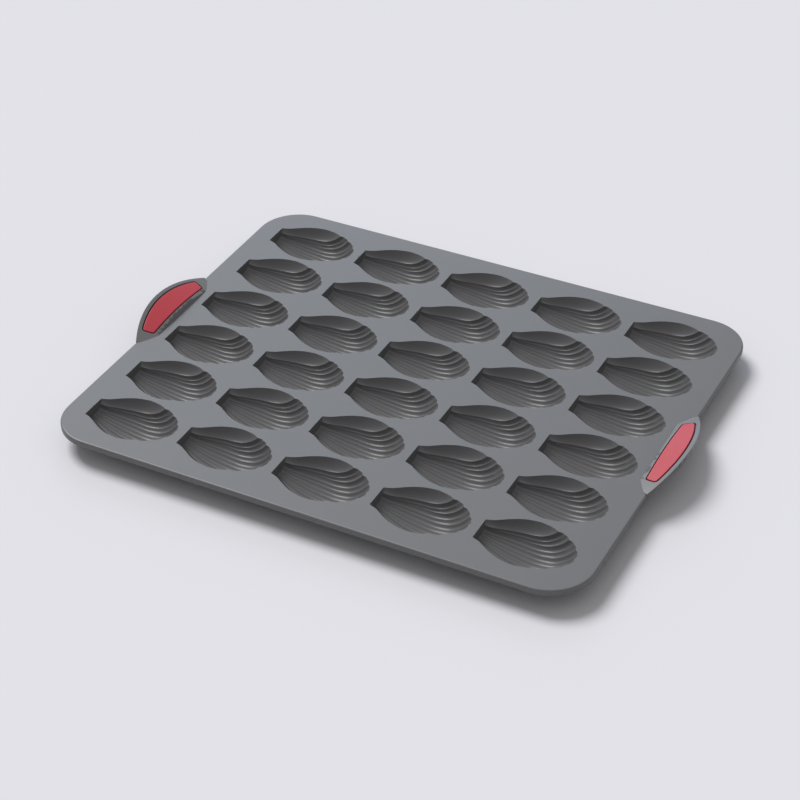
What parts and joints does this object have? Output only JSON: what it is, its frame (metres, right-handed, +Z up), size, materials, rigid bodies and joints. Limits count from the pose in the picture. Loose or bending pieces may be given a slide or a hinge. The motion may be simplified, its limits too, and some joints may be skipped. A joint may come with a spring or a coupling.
{
  "type": "madeleine pan",
  "caption": "Grey silicone madeleine pan: a flat sheet with a deep rim, fluted shell cups in rows, and an upturned grip with a red plate at each end",
  "frame": {"origin": "on the surface that the pan stands on, under the middle of the tray", "axes": "X along the cups' long axis, from their narrow ends to their wide ends, Y across the cups, Z up"},
  "size_m": [0.3854, 0.3016, 0.0251],
  "materials": {
    "silicone_grey": "satin moulded silicone",
    "silicone_red": "satin moulded silicone",
    "steel_wire": "drawn wire"
  },
  "bodies": {
    "root": {"mould_body": "silicone_grey", "rim_hoop": "steel_wire", "grip_plate_right": "silicone_red", "grip_plate_left": "silicone_red"}
  },
  "joints": []
}
